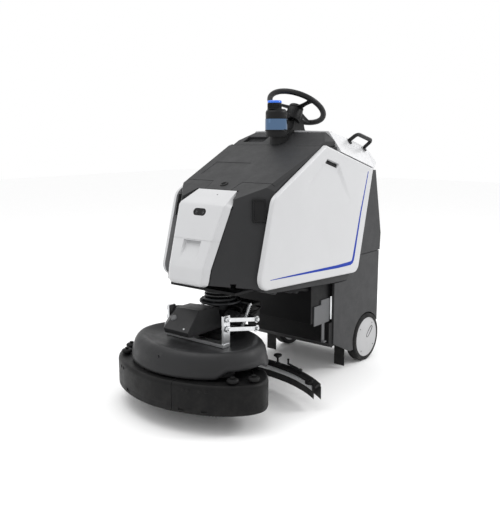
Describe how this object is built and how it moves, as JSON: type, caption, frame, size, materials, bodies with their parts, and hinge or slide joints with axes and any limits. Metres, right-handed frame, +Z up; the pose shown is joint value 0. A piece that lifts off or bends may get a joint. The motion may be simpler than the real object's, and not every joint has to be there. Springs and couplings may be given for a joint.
{
  "type": "robotic floor cleaner",
  "caption": "Self-driving floor scrubber: dark body with white side doors, lidar tower, steering wheel, lifting twin-brush deck and squeegee on a steered front head, rear wheels.",
  "frame": {"origin": "on the floor, under the centre of the machine's bounding box", "axes": "+Z up, the front of the machine faces -Y, +X is the machine's left side"},
  "size_m": [0.904, 1.4019, 1.3732],
  "materials": {
    "shell": "satin moulded, fine texture",
    "white": "satin white paint",
    "black": "textured black",
    "rubber": "matt rubber",
    "tyre": "ribbed",
    "steel": "brushed",
    "alu": "machined",
    "frame": "black powder coat",
    "tank": "translucent rotomoulded",
    "glass": "coated lidar window",
    "blue": "blue",
    "red": "red",
    "yellow": "yellow",
    "screen": "dark display glass",
    "motor": "cast housing",
    "bristle": "nylon bristle",
    "grey": "grey"
  },
  "bodies": {
    "body": {"chassis_frame": "frame", "front_bulkhead_box": "frame", "battery_pack": "black", "solution_tank": "tank", "recovery_tank": "tank", "vacuum_motor": "motor", "body_shell": "shell", "side_sensors": "black", "top_lid": "shell", "rear_cap": "white", "display_screen": "screen", "grab_handle": "black", "estop_base": "yellow", "rear_upper_housing": "shell", "rear_lower_housing": "shell", "rear_axle": "steel", "rubber_flaps": "rubber", "access_panel": "grey", "tower_bracket": "black", "lidar_window": "glass", "lidar_cap": "black", "beacon_light": "blue", "turret_boot": "rubber"},
    "estop_head": {"estop_button": "red"},
    "wheel_left": {"rear_tyre_left": "tyre", "rear_hub_left": "white"},
    "wheel_right": {"rear_tyre_right": "tyre", "rear_hub_right": "white"},
    "steering": {"steering_wheel": "black"},
    "hood": {"hood": "shell"},
    "hood_lock": {"hood_lock": "black"},
    "cover": {"front_cover": "white", "camera_window": "black"},
    "door_left": {"side_door_left": "white"},
    "door_right": {"side_door_right": "white"},
    "head": {"turret_spindle": "frame", "head_fork": "frame", "drive_unit_cover": "shell"},
    "drive_wheel": {"drive_tyre": "tyre", "drive_hub": "alu"},
    "lift_upper": {"lift_arms_upper": "alu"},
    "lift_lower": {"lift_arms_lower": "alu"},
    "deck": {"deck_cover": "shell", "deck_plate": "frame", "deck_saddle": "steel", "brush_motors": "motor", "skirt_left": "black", "skirt_right": "black"},
    "brush_left": {"brush_left": "bristle"},
    "brush_right": {"brush_right": "bristle"},
    "roller_fl": {"roller_front_left": "rubber"},
    "roller_rl": {"roller_rear_left": "rubber"},
    "roller_fr": {"roller_front_right": "rubber"},
    "roller_rr": {"roller_rear_right": "rubber"},
    "squeegee_arm": {"squeegee_arm": "steel"},
    "squeegee": {"squeegee_frame": "black", "squeegee_blades": "rubber", "squeegee_clamps": "steel", "squeegee_knobs": "black"},
    "squeegee_lever": {"squeegee_lever": "black"}
  },
  "joints": [
    {"name": "head_steer", "type": "hinge", "parent": "body", "child": "head", "pos_m": [0, -0.275, 0.5], "axis": [0, 0, 1], "range_deg": [-75, 75]},
    {"name": "steering_turn", "type": "hinge", "parent": "body", "child": "steering", "pos_m": [0, 0.29, 1.289], "axis": [0, 0.524, 0.8517], "range_deg": [-113, 113]},
    {"name": "drive_spin", "type": "hinge", "parent": "head", "child": "drive_wheel", "pos_m": [0, -0.275, 0.1], "axis": [1, 0, 0], "continuous": true},
    {"name": "wheel_left_spin", "type": "hinge", "parent": "body", "child": "wheel_left", "pos_m": [0.234, 0.575, 0.125], "axis": [1, 0, 0], "continuous": true},
    {"name": "wheel_right_spin", "type": "hinge", "parent": "body", "child": "wheel_right", "pos_m": [-0.234, 0.575, 0.125], "axis": [1, 0, 0], "continuous": true},
    {"name": "deck_lift", "type": "hinge", "parent": "head", "child": "lift_upper", "pos_m": [0, -0.235, 0.375], "axis": [1, 0, 0], "range_deg": [0, 21.5]},
    {"name": "deck_level", "type": "hinge", "parent": "lift_upper", "child": "deck", "pos_m": [0, -0.42151, 0.41125], "axis": [1, 0, 0], "range_deg": [-21.5, 0]},
    {"name": "deck_lift_lower", "type": "hinge", "parent": "head", "child": "lift_lower", "pos_m": [0, -0.235, 0.335], "axis": [1, 0, 0], "range_deg": [0, 21.5]},
    {"name": "brush_left_spin", "type": "hinge", "parent": "deck", "child": "brush_left", "pos_m": [0.172, -0.473, 0.142], "axis": [0, 0, 1], "continuous": true},
    {"name": "brush_right_spin", "type": "hinge", "parent": "deck", "child": "brush_right", "pos_m": [-0.172, -0.473, 0.142], "axis": [0, 0, 1], "continuous": true},
    {"name": "roller_front_left_spin", "type": "hinge", "parent": "deck", "child": "roller_fl", "pos_m": [0.306, -0.554, 0.218], "axis": [0, 0, 1], "continuous": true},
    {"name": "roller_rear_left_spin", "type": "hinge", "parent": "deck", "child": "roller_rl", "pos_m": [0.355, -0.484, 0.218], "axis": [0, 0, 1], "continuous": true},
    {"name": "roller_front_right_spin", "type": "hinge", "parent": "deck", "child": "roller_fr", "pos_m": [-0.306, -0.554, 0.218], "axis": [0, 0, 1], "continuous": true},
    {"name": "roller_rear_right_spin", "type": "hinge", "parent": "deck", "child": "roller_rr", "pos_m": [-0.355, -0.484, 0.218], "axis": [0, 0, 1], "continuous": true},
    {"name": "squeegee_lift", "type": "hinge", "parent": "head", "child": "squeegee_arm", "pos_m": [0, -0.16, 0.15], "axis": [1, 0, 0], "range_deg": [-30, 0]},
    {"name": "squeegee_level", "type": "hinge", "parent": "squeegee_arm", "child": "squeegee", "pos_m": [0, -0.06534, 0.17536], "axis": [1, 0, 0], "range_deg": [0, 30]},
    {"name": "squeegee_lever_turn", "type": "hinge", "parent": "squeegee", "child": "squeegee_lever", "pos_m": [0.3, -0.087, 0.131], "axis": [0, 0, 1], "range_deg": [0, 60]},
    {"name": "estop_press", "type": "slide", "parent": "body", "child": "estop_head", "axis": [0, -0.2521, -0.9677], "range_m": [0, 0.004], "stiffness_N_per_m": 600, "springref_m": -0.001},
    {"name": "hood_open", "type": "hinge", "parent": "body", "child": "hood", "pos_m": [0, 0.10053, 1.10727], "axis": [-1, 0, 0], "range_deg": [0, 50]},
    {"name": "hood_lock_turn", "type": "hinge", "parent": "hood", "child": "hood_lock", "pos_m": [0, -0.24431, 0.95003], "axis": [0, -0.4149, 0.9099], "range_deg": [0, 90]},
    {"name": "front_cover_open", "type": "hinge", "parent": "body", "child": "cover", "pos_m": [0, -0.487, 0.548], "axis": [1, 0, 0], "range_deg": [0, 40]},
    {"name": "door_left_open", "type": "hinge", "parent": "body", "child": "door_left", "pos_m": [0.272, 0.125, 0.488], "axis": [0, 1, 0], "range_deg": [0, 60]},
    {"name": "door_right_open", "type": "hinge", "parent": "body", "child": "door_right", "pos_m": [-0.272, 0.125, 0.488], "axis": [0, -1, 0], "range_deg": [0, 60]}
  ],
  "couplings": [
    {"joint": "steering_turn", "follows": "head_steer", "ratio": 1.5},
    {"joint": "deck_level", "follows": "deck_lift", "ratio": -1},
    {"joint": "deck_lift_lower", "follows": "deck_lift", "ratio": 1},
    {"joint": "squeegee_level", "follows": "squeegee_lift", "ratio": -1}
  ]
}
